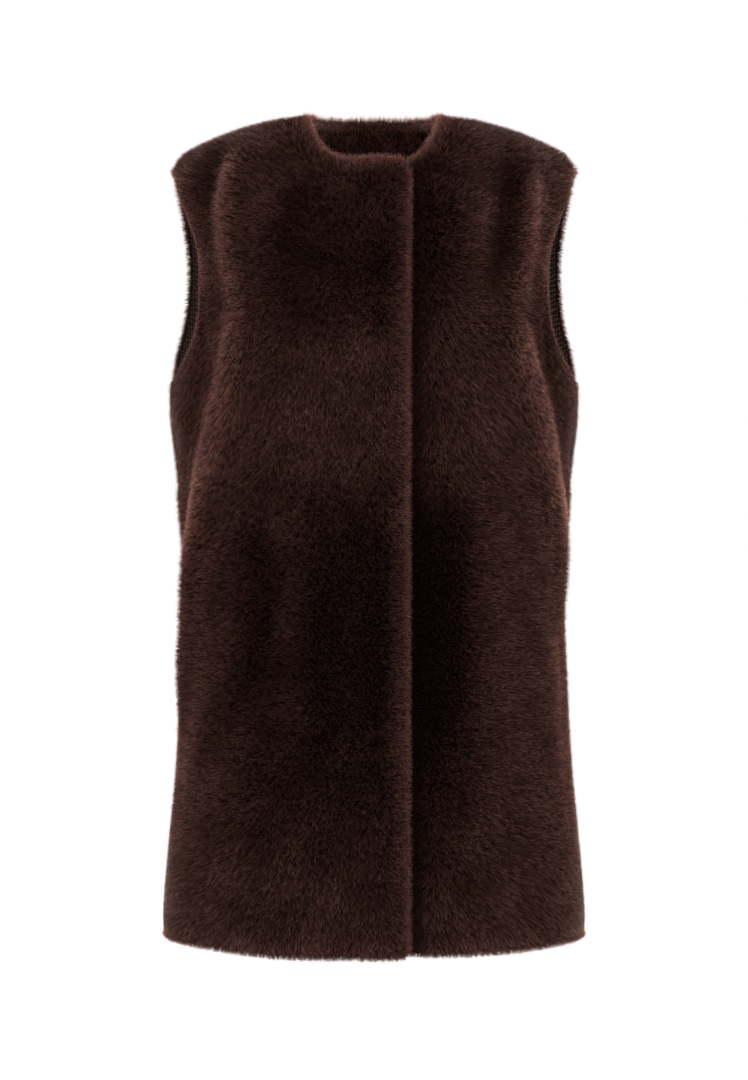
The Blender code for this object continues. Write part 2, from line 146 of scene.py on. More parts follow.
# Folds: a height out of the surface (a trough's is below 0), a width, and the points (x, z) each one passes through.
foldColumns = ("name", "face", "height", "width", "points")
folds = (
    ("rightShoulderRidge", "front", 0.0090, 0.015,
     ((-0.143, -0.035), (-0.151, -0.100), (-0.146, -0.153), (-0.134, -0.205))),
    ("rightShoulderTrough", "front", -0.006, 0.015, ((-0.163, -0.035), (-0.170, -0.080), (-0.172, -0.120))),
    ("rightSideRidge", "front", 0.0120, 0.016,
     ((-0.135, -0.215), (-0.146, -0.268), (-0.157, -0.312), (-0.171, -0.368), (-0.180, -0.415),
      (-0.192, -0.470), (-0.196, -0.540), (-0.202, -0.610))),
    ("rightSideTrough", "front", -0.006, 0.026, ((-0.213, -0.330), (-0.212, -0.420), (-0.208, -0.480))),
    ("rightChestTrough", "front", -0.004, 0.024, ((-0.078, -0.090), (-0.078, -0.200))),
    ("rightHipTrough", "front", -0.004, 0.030, ((-0.103, -0.420), (-0.106, -0.560), (-0.150, -0.650))),
    ("rightSkirtRidge", "front", 0.004, 0.030, ((-0.070, -0.400), (-0.070, -0.520), (-0.062, -0.660))),
    ("leftShoulderTrough", "front", -0.007, 0.017, ((0.142, -0.035), (0.127, -0.110), (0.116, -0.185))),
    ("leftShoulderRidge", "front", 0.0085, 0.016, ((0.158, -0.050), (0.154, -0.130), (0.145, -0.200))),
    ("leftSideRidge", "front", 0.0120, 0.0155,
     ((0.140, -0.215), (0.155, -0.262), (0.169, -0.312), (0.180, -0.368), (0.190, -0.420), (0.197, -0.500))),
    ("leftSideTrough", "front", -0.006, 0.026, ((0.213, -0.330), (0.212, -0.420), (0.208, -0.480))),
    ("leftChestRidge", "front", 0.003, 0.026, ((0.098, -0.080), (0.098, -0.200))),
    ("leftSkirtRidge", "front", 0.005, 0.030, ((0.104, -0.420), (0.112, -0.560), (0.116, -0.680))),
    ("leftSkirtTrough", "front", -0.004, 0.026, ((0.066, -0.400), (0.062, -0.520), (0.070, -0.640))),
    ("backLeftRidge", "back", 0.007, 0.030, ((0.120, -0.180), (0.132, -0.300), (0.128, -0.460), (0.140, -0.640))),
    ("backRightRidge", "back", 0.006, 0.028,
     ((-0.128, -0.160), (-0.118, -0.320), (-0.130, -0.520), (-0.150, -0.700))),
    ("backMiddleTrough", "back", -0.006, 0.036, ((0.006, -0.200), (-0.010, -0.380), (0.004, -0.620))),
    ("backWaistRidge", "back", 0.004, 0.026, ((-0.052, -0.330), (-0.060, -0.450), (-0.050, -0.560))),
    ("backBladeTrough", "back", -0.004, 0.022, ((0.158, -0.110), (0.150, -0.200), (0.162, -0.300))),
)

# Where something is sewn under the right front, the pile parts over a small dimple.
dimpleColumns = ("x", "z", "radius", "depth", "part")
dimples = (
    (-0.006, -0.070, 0.010, 0.0015, 0.5),
    (0.006, -0.229, 0.012, 0.0020, 0.7),
    (-0.004, -0.346, 0.013, 0.0030, 0.45),
    (0.006, -0.646, 0.007, 0.0010, 0.4),
)

# How the pile is combed, by height: its lean out to the side and down as a share of its height, how far from the
# middle the sideways lean starts on the right and the left front, where it turns back towards the front past the side
# ridges, and how much single fibres stray.
combColumns = ("z", "side", "rightStart", "leftStart", "turn", "down", "stray")
comb = (
    (-0.880, 0.55, 0.060, 0.035, 0.212, 1.15, 0.20),
    (-0.800, 0.55, 0.075, 0.035, 0.204, 1.00, 0.20),
    (-0.740, 0.50, 0.095, 0.040, 0.198, 0.50, 0.17),
    (-0.680, 0.45, 0.110, 0.045, 0.192, 0.12, 0.13),
    (-0.600, 0.45, 0.115, 0.050, 0.189, 0.02, 0.11),
    (-0.500, 0.48, 0.112, 0.050, 0.188, 0.02, 0.11),
    (-0.450, 0.50, 0.110, 0.050, 0.188, 0.05, 0.14),
    (-0.380, 0.55, 0.090, 0.045, 0.186, 0.50, 0.22),
    (-0.320, 0.50, 0.060, 0.040, 0.173, 1.15, 0.23),
    (-0.260, 0.50, 0.040, 0.040, 0.160, 1.00, 0.23),
    (-0.190, 0.65, 0.030, 0.040, 0.164, 0.65, 0.22),
    (-0.130, 0.80, 0.030, 0.040, 0.184, 0.32, 0.22),
    (-0.070, 0.85, 0.020, 0.040, 0.204, 0.20, 0.24),
    (0.040, 0.60, 0.020, 0.040, 0.210, 0.10, 0.24),
)
combing = {
    "leftShare": 1.7,
    "leftReach": 0.080,
    "rightShare": 1.5,
    "rightReach": 0.110,
    "turnShare": 1.5,
    "turnReach": 0.014,
    "backSide": 0.5,           # the back's pile leans less to the sides and more evenly down
    "backDown": (0.35, 0.65),
}


def tableColumn(table, names, name):
    return np.array([row[names.index(name)] for row in table], float)


def smooth(x, xs, ys):
    x = np.clip(x, xs[0], xs[-1])
    chord = np.diff(ys) / np.diff(xs)
    slope = np.concatenate([chord[:1], (chord[1:] + chord[:-1]) / 2, chord[-1:]])
    i = np.clip(np.searchsorted(xs, x, side="right") - 1, 0, len(xs) - 2)
    step = xs[i + 1] - xs[i]
    s = (x - xs[i]) / step
    return (
        ys[i] * (1 + 2 * s) * (1 - s) ** 2
        + slope[i] * step * s * (1 - s) ** 2
        + ys[i + 1] * s * s * (3 - 2 * s)
        - slope[i + 1] * step * s * s * (1 - s)
    )


def fromTable(table, names, key, name, x):
    return smooth(x, tableColumn(table, names, key), tableColumn(table, names, name))


def ease(x, start, end):
    s = np.clip((x - start) / (end - start), 0, 1)
    return s * s * (3 - 2 * s)


def unit(v):
    return v / np.maximum(np.linalg.norm(v, axis=-1, keepdims=True), 1e-12)


def sectionAt(name, z):
    return fromTable(sections, sectionColumns, "z", name, z)


def shoulderZ(x):
    return fromTable(shoulder, shoulderColumns, "x", "z", np.abs(x))


def armholeX(face, z):
    edge = fromTable(armhole, armholeColumns, "z", face, z)
    return np.where(z > cut["underarmZ"], edge, sectionAt("halfWidth", z))


def roundOut(rise, height):
    s = np.clip(rise / height, 0, 1)
    return np.sqrt(np.maximum(1 - (1 - s) ** 2, 0))


def halfWidth(face, z):
    out = cut["armholeShare"] * roundOut(z - cut["underarmZ"], cut["armholeTurn"])
    return armholeX(face, z) / (1 - out ** cut["squareness"]) ** (1 / cut["squareness"])


def depth(face, x, z):
    across = np.clip(np.abs(x) / halfWidth(face, z), 0, 1)
    bow = (1 - across ** cut["squareness"]) ** (1 / cut["squareness"])
    return sectionAt(face, z) * bow * roundOut(shoulderZ(x) - z, cut["shoulderRoll"])


def neckShape(face):
    return (cut["frontNeckReach"], cut["neckSquareness"]) if face == "front" else (cut["backNeckReach"], 2)


def necklineZ(face, x):
    reach, square = neckShape(face)
    want = reach * np.maximum(1 - np.abs(x / cut["neckHalfWidth"]) ** square, 0) ** (1 / square)
    low, high = shoulderZ(x) - cut["shoulderRoll"], shoulderZ(x)
    for _ in range(grids["halvings"]):
        middle = (low + high) / 2
        deeper = depth(face, x, middle) > want
        low, high = np.where(deeper, middle, low), np.where(deeper, high, middle)
    return high


# A panel's places as an angle round the body and a length down from the shoulder line
def toMap(face, x, z):
    angle = np.arcsin(np.clip(np.abs(x) / halfWidth(face, z), 0, 1) ** (cut["squareness"] / 2))
    drop, roll = np.maximum(shoulderZ(x) - z, 0), cut["shoulderRoll"]
    turned = roll * np.arccos(np.clip(1 - drop / roll, -1, 1))
    return np.stack([np.sign(x) * angle, np.where(drop < roll, turned, drop + roll * (math.pi / 2 - 1))], -1)


def fromMap(face, place):
    angle, way, roll = place[..., 0], place[..., 1], cut["shoulderRoll"]
    share = np.sign(angle) * np.abs(np.sin(angle)) ** (2 / cut["squareness"])
    drop = roll * (1 - np.cos(np.clip(way / roll, 0, math.pi / 2))) + np.maximum(way - roll * math.pi / 2, 0)
    z = -drop
    for _ in range(grids["settlings"]):
        x = halfWidth(face, z) * share
        z = shoulderZ(x) - drop
    return x, z


def levelPlaces(face, z, start, count):
    wide, square = float(halfWidth(face, z)), cut["squareness"]
    first = math.copysign(math.asin(abs(start / wide) ** (square / 2)), start)
    angle = np.linspace(first, math.pi / 2, grids["levelSteps"])
    x = wide * np.sign(angle) * np.abs(np.sin(angle)) ** (2 / square)
    y = sectionAt(face, z) * np.abs(np.cos(angle)) ** (2 / square)
    way = np.concatenate([[0], np.cumsum(np.hypot(np.diff(x), np.diff(y)))])
    return np.interp(np.linspace(0, way[-1], count + 1), way, x)


def yoke(face, start, count):
    rows = grids["armholeRows"] + grids["shoulderRows"]
    square = neckShape(face)[1]
    low = cut["underarmZ"]
    below = toMap(face, levelPlaces(face, low, start, count), np.full(count + 1, low))
    turn = np.linspace(math.asin((start / cut["neckHalfWidth"]) ** (square / 2)), math.pi / 2, count + 1)
    neckX = cut["neckHalfWidth"] * np.sin(turn) ** (2 / square)
    above = toMap(face, neckX, necklineZ(face, neckX))
    middleZ = np.linspace(low, float(necklineZ(face, start)), rows + 1)
    middle = toMap(face, np.full(rows + 1, start), middleZ)
    tipX, tipZ = shoulder[-1]
    armZ = low + (tipZ - low) * (1 - np.cos(np.linspace(0, math.pi, grids["armholeRows"] + 1))) / 2
    seamX = np.linspace(tipX, cut["neckHalfWidth"], grids["shoulderRows"] + 1)[1:]
    outside = np.concatenate([toMap(face, armholeX(face, armZ), armZ), toMap(face, seamX, shoulderZ(seamX))])
    across = np.linspace(0, 1, count + 1)[None, :, None]
    up = np.linspace(0, 1, rows + 1)[:, None, None]
    corners = (1 - up) * ((1 - across) * below[0] + across * below[-1])
    corners = corners + up * ((1 - across) * above[0] + across * above[-1])
    return (1 - up) * below + up * above + (1 - across) * middle[:, None] + across * outside[:, None] - corners


# Rows run from the hem up and columns outwards. The last column is the side seam, the armhole and the shoulder seam,
# and the last row is the neckline.
def halfPanel(face, near, columns, hemRise):
    count = columns - len(near) + 1
    skirt, rows = grids["skirtRows"], []
    for z in np.linspace(cut["hemZ"], cut["underarmZ"], skirt + 1):
        x = levelPlaces(face, z, near[-1], count)
        rise = hemRise * (1 - ease(x, *cut["leftHemSpan"])) + cut["sideHemRise"] * ease(x, *cut["sideHemSpan"])
        rows.append((x, z + rise * (1 - ease(z, cut["hemZ"], cut["hemZ"] + cut["hemRiseHeight"]))))
    rows += list(zip(*fromMap(face, yoke(face, near[-1], count)[1:])))
    x, z = np.array([row[0] for row in rows]), np.array([row[1] for row in rows])
    for at in near[-2::-1]:
        short = float(np.clip(cut["cornerRound"] - (at - near[0]), 0, cut["cornerRound"]))
        drop = cut["cornerRound"] - math.sqrt(cut["cornerRound"] ** 2 - short ** 2)
        top = float(necklineZ(face, at)) - drop
        share = np.clip((z[:, 0] - cut["underarmZ"]) / (z[-1, 0] - cut["underarmZ"]), 0, 1)
        line = z[:, 0] + share * (top - z[-1, 0])
        line[0] += drop
        z = np.concatenate([line[:, None], z], axis=1)
        x = np.concatenate([np.full((len(x), 1), at), x], axis=1)
    y = depth(face, x, z)
    y[:skirt + 1, -1] = 0
    y[skirt + grids["armholeRows"]:, -1] = 0
    return np.stack([x, -y if face == "front" else y, z], 2)


def normalsOf(points, face):
    x, z, step = points[..., 0], points[..., 2], 0.0005
    slopeX = (depth(face, x + step, z) ** 2 - depth(face, x - step, z) ** 2) / (2 * step)
    slopeZ = (depth(face, x, z + step) ** 2 - depth(face, x, z - step) ** 2) / (2 * step)
    return unit(np.stack([-slopeX, 2 * points[..., 1], -slopeZ], -1))


def foldHeights(points):
    x, y, z = points[..., 0], points[..., 1], points[..., 2]
    total = np.zeros_like(x)
    for row in folds:
        fold = dict(zip(foldColumns, row))
        path = np.array(sorted(fold["points"], key=lambda p: p[1]))
        pathX = smooth(z, path[:, 1], path[:, 0])
        pathY = depth(fold["face"], pathX, np.clip(z, path[0, 1], path[-1, 1]))
        if fold["face"] == "front":
            pathY = -pathY
        away = (x - pathX) ** 2 + (y - pathY) ** 2
        fade = cloth["foldFade"]
        ends = ease(z, path[0, 1] - fade, path[0, 1] + fade)
        ends = ends * (1 - ease(z, path[-1, 1] - fade / 2, path[-1, 1] + fade / 2))
        total += fold["height"] * np.exp(-away / fold["width"] ** 2) * ends
    return total


# Soft unevenness of about this size, the same each run
waves = {"count": 9, "spread": (0.7, 1.4), "even": 2.1}


def wander(points, size, seed):
    pick, count = np.random.default_rng(seed), waves["count"]
    ways = unit(pick.normal(size=(count, 3))) * pick.uniform(*waves["spread"], (count, 1)) * 2 * math.pi / size
    return np.sin(points @ ways.T + pick.uniform(0, 2 * math.pi, count)).sum(-1) / waves["even"]


# Draws the first column of a grid in from a free edge, by an amount for each row, and the rest less and less.
def drawIn(points, amounts):
    for row, amount in enumerate(amounts):
        line = points[row].copy()
        way = np.concatenate([[0], np.cumsum(np.linalg.norm(np.diff(line, axis=0), axis=1))])
        place = way + amount * np.clip(1 - way / cloth["drawReach"], 0, 1) ** 2
        points[row] = np.stack([np.interp(place, way, line[:, k]) for k in range(3)], 1)


# The pile's lean sideways and down at a place
def combAt(face, x, z):
    sideways = fromTable(comb, combColumns, "z", "side", z)
    downwards = fromTable(comb, combColumns, "z", "down", z)
    right = fromTable(comb, combColumns, "z", "rightStart", z)
    left = fromTable(comb, combColumns, "z", "leftStart", z)
    turn = fromTable(comb, combColumns, "z", "turn", z)
    toLeft = combing["leftShare"] * ease(x, left, left + combing["leftReach"])
    toRight = combing["rightShare"] * ease(-x, right, right + combing["rightReach"])
    sideways = sideways * (toLeft - toRight)
    if face == "back":
        least, share = combing["backDown"]
        return sideways * combing["backSide"], least + share * downwards
    return sideways * (1 - combing["turnShare"] * ease(np.abs(x), turn, turn + combing["turnReach"])), downwards


# How near each place is to the first column's edge, from 0 to 1
def nearEdge(grid, share, reach):
    steps = np.linalg.norm(np.diff(grid, axis=1), axis=2)
    way = np.concatenate([np.zeros((len(grid), 1)), np.cumsum(steps, axis=1)], axis=1)
    return share[:, None] * np.exp(-(way / reach) ** 2)


# How far the pile leans out over that edge
def rollOver(grid, share):
    far = cloth["edgeLean"] * nearEdge(grid, share, cloth["edgeRoll"])
    return unit(grid[:, :1] - grid[:, 2:3]) * far[..., None]


# A panel as grids: the face that the pile is rooted in, the inner face, the directions out and the pile's height
def panelGrids(face, points, push, wall, middles):
    skirt, tip = grids["skirtRows"], grids["skirtRows"] + grids["armholeRows"]
    rows = np.arange(len(points))
    (above, full), (fades, gone) = grids["armStart"], grids["armEnd"]
    arm = ease(rows, skirt + above, skirt + full) * (1 - ease(rows, tip - fades, tip - gone))
    armDraw = arm * cloth["frontArmDraw" if middles else "backArmDraw"]
    drawIn(points.transpose(1, 0, 2), np.full(points.shape[1], cloth["hemDraw"]))
    neckDraw = cloth["edgeDraw" if middles else "backNeckDraw"]
    drawIn(points[::-1].transpose(1, 0, 2), np.full(points.shape[1], neckDraw))
    drawIn(points[:, ::-1], armDraw)
    drawIn(points, np.full(len(points), cloth["edgeDraw"]) if middles else armDraw)
    out = normalsOf(points, face)
    lift, thick = push(points), wall(points)
    tilt = np.hypot(*combAt(face, points[..., 0], points[..., 2]))
    high = np.minimum(thick - cloth["backing"], cloth["pile"] / np.sqrt(1 + tilt ** 2))
    thick = high + cloth["backing"]
    seams = np.zeros(points.shape[:2], bool)
    for column in ([-1] if middles else [0, -1]):
        seams[:skirt + 1, column] = seams[tip:, column] = True
    side = -1 if face == "front" else 1
    root, inner = points + out * (lift - high)[..., None], points + out * (lift - thick)[..., None]
    formOut = np.cross(np.gradient(root, axis=0), np.gradient(root, axis=1))
    formOut = unit(formOut * np.sign((formOut * out).sum(-1, keepdims=True)))
    for grid in (root, inner):
        y = grid[..., 1] * side
        grid[..., 1] = side * np.where(seams, cut["seamGap"] / 2, np.maximum(y, cut["seamGap"] / 2))
    atArm, whole = arm * cloth["armLean"], np.ones(points.shape[1])
    roll = rollOver(root[:, ::-1], atArm)[:, ::-1]
    roll = roll + rollOver(root, np.ones(len(points)) if middles else atArm)
    roll = roll + rollOver(root.transpose(1, 0, 2), whole).transpose(1, 0, 2)
    roll = roll + rollOver(root[::-1].transpose(1, 0, 2), whole).transpose(1, 0, 2)[::-1]
    trim = nearEdge(root[:, ::-1], arm, cloth["armTrim"])[:, ::-1]
    if not middles:
        trim = cloth["backTrim"] * np.maximum(trim, nearEdge(root, arm, cloth["armTrim"]))
    standing = unit(formOut + (formOut - out) * cloth["foldSpread"])
    panel = {"face": face, "root": root, "inner": inner, "out": out, "standing": standing, "roll": roll, "trim": trim}
    return panel | {"high": high, "fold": foldHeights(points), "middles": middles}


def frontPush(points):
    push = foldHeights(points)
    for row in dimples:
        spot = dict(zip(dimpleColumns, row))
        away = (points[..., 0] - spot["x"]) ** 2 + (points[..., 2] - spot["z"]) ** 2
        push = push - spot["depth"] * np.exp(-away / spot["radius"] ** 2)
    return push + cut["overlapRise"] * ease(points[..., 0], *cut["overlapRiseSpan"])


def underlap(points):
    return 1 - ease(points[..., 0], cut["underlapEnd"], cut["grooveEnd"])


def leftPush(points):
    return foldHeights(points) + underlap(points) * (cut["overlapRise"] - cloth["wall"] - cloth["layerGap"])


def leftWall(points):
    return cloth["wall"] + (cloth["underlapWall"] - cloth["wall"]) * underlap(points)


def plainWall(points):
    return np.full(points.shape[:-1], cloth["wall"])


near = np.linspace(-cut["overlapEdge"], 0.015, grids["nearColumns"])
turned = halfPanel("front", near, grids["frontColumns"], 0) * (-1, 1, 1)
rightPanel = panelGrids("front", turned, frontPush, plainWall, True)
near = np.linspace(cut["underlapEdge"], cut["underlapEnd"], grids["nearColumns"])
plain = halfPanel("front", near, grids["frontColumns"], cut["leftHemRise"])
leftPanel = panelGrids("front", plain, leftPush, leftWall, True)
half = halfPanel("back", np.array([0.0]), grids["backHalfColumns"], 0)
whole = np.concatenate([half[:, :0:-1] * (-1, 1, 1), half], axis=1)
backPanel = panelGrids("back", whole, foldHeights, plainWall, False)
print("form: panels laid out")


def colour(code):
    parts = [int(code[i:i + 2], 16) / 255 for i in (1, 3, 5)]
    return tuple(c / 12.92 if c <= 0.04045 else ((c + 0.055) / 1.055) ** 2.4 for c in parts) + (1,)


def addNode(tree, kind, settings=None, links=None):
    node = tree.nodes.new(kind)
    for name, value in (settings or {}).items():
        if name == "stops":
            stops = node.color_ramp.elements
            while len(stops) > 1:
                stops.remove(stops[-1])
            stops[0].position, stops[0].color = value[0][0], colour(value[0][1])
            for place, code in value[1:]:
                stops.new(place).color = colour(code)
        elif name in node.inputs:
            node.inputs[name].default_value = value
        else:
            setattr(node, name, value)
    for name, socket in (links or {}).items():
        tree.links.new(socket, node.inputs[name])
    return node


def newMaterial(name, roughness, ior=1.5):
    material = bpy.data.materials.new(name)
    material.use_nodes = True
    shader = material.node_tree.nodes["Principled BSDF"]
    shader.inputs["Roughness"].default_value = roughness
    shader.inputs["IOR"].default_value = ior
    return material, material.node_tree, shader


# Modacrylic pile, cut and brushed: dark roots that no light reaches, paler tips that light shines through, and only a
# faint gleam. Its map runs from root to tip, and across it each fibre is a little lighter or darker, shifted by the
# painted highlight and shade that the pile gets over folds and edges.
fibre = {
    "roughness": 0.48,
    "ior": 1.52,
    "specular": 0.08,          # low, as each blade stands for a tuft whose fibres scatter the gleam
    "through": 0.5,
    "darkest": 0.30,
    "palest": 2.00,
}


def pileMaterial(name, stops, gleam):
    material, tree, shader = newMaterial(name, fibre["roughness"], fibre["ior"])
    place = addNode(tree, "ShaderNodeUVMap", {"uv_map": "OFBake"})
    parts = addNode(tree, "ShaderNodeSeparateXYZ", links={"Vector": place.outputs["UV"]})
    ramp = addNode(tree, "ShaderNodeValToRGB", {"stops": stops}, {"Fac": parts.outputs["X"]})
    light = addNode(tree, "ShaderNodeMapRange", {"To Min": fibre["darkest"], "To Max": fibre["palest"]},
                    {"Value": parts.outputs["Y"]})
    tint = addNode(tree, "ShaderNodeVectorMath", {"operation": "SCALE"},
                   {"Vector": ramp.outputs["Color"], "Scale": light.outputs["Result"]})
    tree.links.new(tint.outputs["Vector"], shader.inputs["Base Color"])
    through = addNode(tree, "ShaderNodeBsdfTranslucent", links={"Color": tint.outputs["Vector"]})
    both = addNode(tree, "ShaderNodeMixShader", {"Fac": fibre["through"]},
                   {1: shader.outputs["BSDF"], 2: through.outputs["BSDF"]})
    tree.links.new(both.outputs["Shader"], tree.nodes["Material Output"].inputs["Surface"])
    shader.inputs["Specular IOR Level"].default_value = fibre["specular"]
    shader.inputs["Specular Tint"].default_value = colour(gleam)
    return material


pileStops = ((0.0, "#060202"), (0.45, "#1e100e"), (0.75, "#51322b"), (1.0, "#b88b7e"))
modacrylicPile = pileMaterial("modacrylicPile", pileStops, "#e0b8a8")
# The facing is the same pile in a paler copy: painted light for the inside of the neck, where the lamps shine in
facingPaintedLightStops = ((0.0, "#080403"), (0.45, "#2e1a16"), (0.75, "#6f483e"), (1.0, "#d3a799"))
facingPilePaintedLight = pileMaterial("facingPilePaintedLight", facingPaintedLightStops, "#d8b0a0")

# The foot of the pile on the backing, seen between the tips: the fibres' dark brown with painted shade, as little
# light reaches down there
pileFootPaintedShade, _, footShader = newMaterial("pileFootPaintedShade", 0.9)
footShader.inputs["Base Color"].default_value = colour("#0d0605")
footShader.inputs["Specular IOR Level"].default_value = 0.0

# Warp-knitted polyester backing: a dull, slightly greyed brown with rows of small stitches. Real stitches are 0.9 mm
# apart and wouldn't show, so they are drawn 2.4 mm apart.
knittedBacking, knitTree, knitShader = newMaterial("knittedBacking", 0.85)
knitPlace = addNode(knitTree, "ShaderNodeTexCoord")
stitch = {"size": 0.0024, "bump": 0.5, "depth": 0.0006}
stitchScale = 0.314 / stitch["size"]      # at scale 1 the bands are 0.314 m apart
knitWave = addNode(knitTree, "ShaderNodeTexWave", {"bands_direction": "X", "Scale": stitchScale, "Distortion": 1.2,
                   "Detail Scale": 2.0}, {"Vector": knitPlace.outputs["Object"]})
knitRow = addNode(knitTree, "ShaderNodeTexWave", {"bands_direction": "DIAGONAL", "Scale": stitchScale,
                  "Distortion": 4.0}, {"Vector": knitPlace.outputs["Object"]})
knitMix = addNode(knitTree, "ShaderNodeMath", {"operation": "MULTIPLY"},
                  {0: knitWave.outputs["Fac"], 1: knitRow.outputs["Fac"]})
knitStops = ((0.0, "#170d0a"), (0.45, "#2f1f19"), (1.0, "#665046"))
knitRamp = addNode(knitTree, "ShaderNodeValToRGB", {"stops": knitStops}, {"Fac": knitMix.outputs["Value"]})
knitBump = addNode(knitTree, "ShaderNodeBump", {"Strength": stitch["bump"], "Distance": stitch["depth"]},
                   {"Height": knitMix.outputs["Value"]})
knitShader.inputs["Specular IOR Level"].default_value = 0.1
knitTree.links.new(knitRamp.outputs["Color"], knitShader.inputs["Base Color"])
knitTree.links.new(knitBump.outputs["Normal"], knitShader.inputs["Normal"])

# Thread wound over brass wire: dark and matt
coveredWire, _, wireShader = newMaterial("coveredWire", 0.6)
wireShader.inputs["Base Color"].default_value = colour("#241713")
for name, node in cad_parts.items():
    if name.startswith(("hook", "eye")):
        node.data.materials.clear()
        node.data.materials.append(coveredWire)
print("materials: made")


def newObject(name, mesh, materials):
    for material in materials:
        mesh.materials.append(material)
    piece = bpy.data.objects.new(name, mesh)
    bpy.context.scene.collection.objects.link(piece)
    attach(piece, "root")
    return piece


def makeShell(name, outer, inner, materials):
    rows, columns = outer.shape[:2]
    count = rows * columns
    points = np.concatenate([outer.reshape(-1, 3), inner.reshape(-1, 3)])
    r, c = np.meshgrid(np.arange(rows - 1), np.arange(columns - 1), indexing="ij")
    a = (r * columns + c).reshape(-1)
    front = np.stack([a, a + 1, a + 1 + columns, a + columns], 1)
    ring = [(0, k) for k in range(columns)] + [(k, columns - 1) for k in range(1, rows)]
    ring += [(rows - 1, k) for k in range(columns - 2, -1, -1)] + [(k, 0) for k in range(rows - 2, 0, -1)]
    ring = np.array([k[0] * columns + k[1] for k in ring])
    after = np.roll(ring, -1)
    rim = np.stack([after, ring, ring + count, after + count], 1)
    faces = np.concatenate([front, front[:, ::-1] + count, rim])
    cornersOf = points[faces]
    volume = sum(np.linalg.det(cornersOf[:, [0, k, k + 1]]).sum() for k in (1, 2))
    if volume < 0:
        faces = faces[:, ::-1]
    mesh = bpy.data.meshes.new(name)
    mesh.from_pydata(points.tolist(), [], faces.tolist())
    material = np.repeat([0, 1, 0], [len(front), len(front), len(rim)])
    mesh.polygons.foreach_set("material_index", material.astype(np.int32))
    mesh.shade_smooth()
    return newObject(name, mesh, materials)


def panelShell(name, panel, node):
    shell = makeShell(name, panel["root"], panel["inner"], (pileFootPaintedShade, knittedBacking))
    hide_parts(node)
    return shell


rightShell = panelShell("right_front_backing", rightPanel, "right_front")
leftShell = panelShell("left_front_backing", leftPanel, "left_front")
backShell = panelShell("back_backing", backPanel, "back")

# The facing lies against the back's inner face, and its own pile faces the neck.
facing = {
    "backing": 0.0014,
    "wall": 0.006,
    "gap": 0.0003,
    "count": 24000,
    "droop": 0.5,
    "clump": 0.45,
    "clumpSize": 0.03,
    "stray": 0.3,
    "length": (0.9, 1.35),
    # the facing's tips reach paler than the face's pile: more painted light inside the neck
    "tone": 0.93,
    "toneSpread": 0.07,
    "seamCount": 6000,
    "seamDepth": 0.006,
    "seamOut": (0.2, 1.0),
    "seamUp": (0.5, 1.1),
    "seamLength": (0.006, 0.0095),
    # the seam's tips paler too: painted light along the top of the facing
    "seamTone": 0.90,
    "seamToneSpread": 0.08,
}
part = slice(-grids["facingRows"] - 1, None)
facingOut = backPanel["out"][part]
facingFar = backPanel["inner"][part] - facingOut * facing["gap"]
facingNear = facingFar - facingOut * facing["backing"]
for grid in (facingFar, facingNear):
    grid[..., 1] = np.maximum(grid[..., 1], cut["seamGap"] / 2)
facingShell = makeShell("back_neck_facing_backing", facingNear, facingFar, (pileFootPaintedShade, knittedBacking))
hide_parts("back_neck_facing")
print("backing: made")


# The fur, drawn as single blades
pile = {
    "width": 0.00054,          # a tuft of fibres drawn as one blade, as single fibres wouldn't show
    "backWidth": 0.00072,
    "rimWidth": 0.00044,
    "guardShare": 0.10,        # longer and finer fibres that stand past the rest
    "guardLength": (1.15, 1.50),
    "frontCount": 364000,
    "leftCount": 270000,
    "backCount": 194000,
    "rimCount": 20000,
    "clump": 0.09,             # how far neighbouring fibres share a stray lean
    "clumpSize": 0.011,
    "tuft": 0.12,
    "tuftSize": 0.0045,
    "sway": 0.05,
    "swaySize": 0.060,
    "usualStray": 0.2,
    "twist": 0.45,
    "widthSpread": (0.6, 1.35),
    "guardWidth": 0.6,
    "guardTrim": 3,            # how soon they end towards a trimmed edge
    "lengthSpread": (0.78, 1.10),
    "edgeShort": 0.30,         # shorter where it rolls over a free edge
    "trimShort": 0.35,         # and where it is trimmed round the arms
    "edgeStill": 0.6,          # and there it follows the comb less
    "trimStill": 0.8,
    "sink": 0.0006,
    "tone": 0.86,              # how far up the root-to-tip colours a tip reaches
    "toneDrift": 0.03,
    "driftSize": 0.05,
    "toneSpread": 0.10,
    # how much the painted highlight and shade below also move the tips' colour
    "tipPaintedLight": 0.15,
    # painted shade on the left front beside and under the right front's edge
    "underlapPaintedShade": 0.30,
    "ridgePaintedLight": 0.72,        # painted highlight where the pile opens over a ridge, and painted shade in a trough
    "troughPaintedShade": 0.40,
    "edgePaintedLight": 0.42,         # and a painted highlight where it opens over a free edge
    "ridgeFull": 0.010,        # a ridge this high has all of its painted highlight, a trough this low all of its painted shade
    "troughFull": 0.006,
    "skirtShare": 0.7,         # the painted highlight on the skirt's ridges is weaker
    "skirtSpan": (0.38, 0.50),
}
rim = {
    "fan": (10, 85),           # degrees from the face round to the edge
    "fanMore": 35,
    "droop": 0.15,
    "stray": 0.28,
    "length": (0.95, 1.65),
    "frontArm": 0.52,
    "backArm": 0.85,
    "neckLong": 1.1,
    # painted highlight on the rolled pile of each free edge, added to its blades' shade
    "hemPaintedLight": 0.35,
    "neckPaintedLight": 0.65,
    "sidePaintedLight": 0.25,
    # a paler tip than the face's pile: more painted highlight on the rolled edges
    "tone": 0.96,
    "toneSpread": 0.06,
}


def drawn(count):
    return count


def between(grid, r, c, u, v):
    if grid.ndim == 3:
        u, v = u[:, None], v[:, None]
    low = grid[r, c] * (1 - u) + grid[r, c + 1] * u
    high = grid[r + 1, c] * (1 - u) + grid[r + 1, c + 1] * u
    return low * (1 - v) + high * v


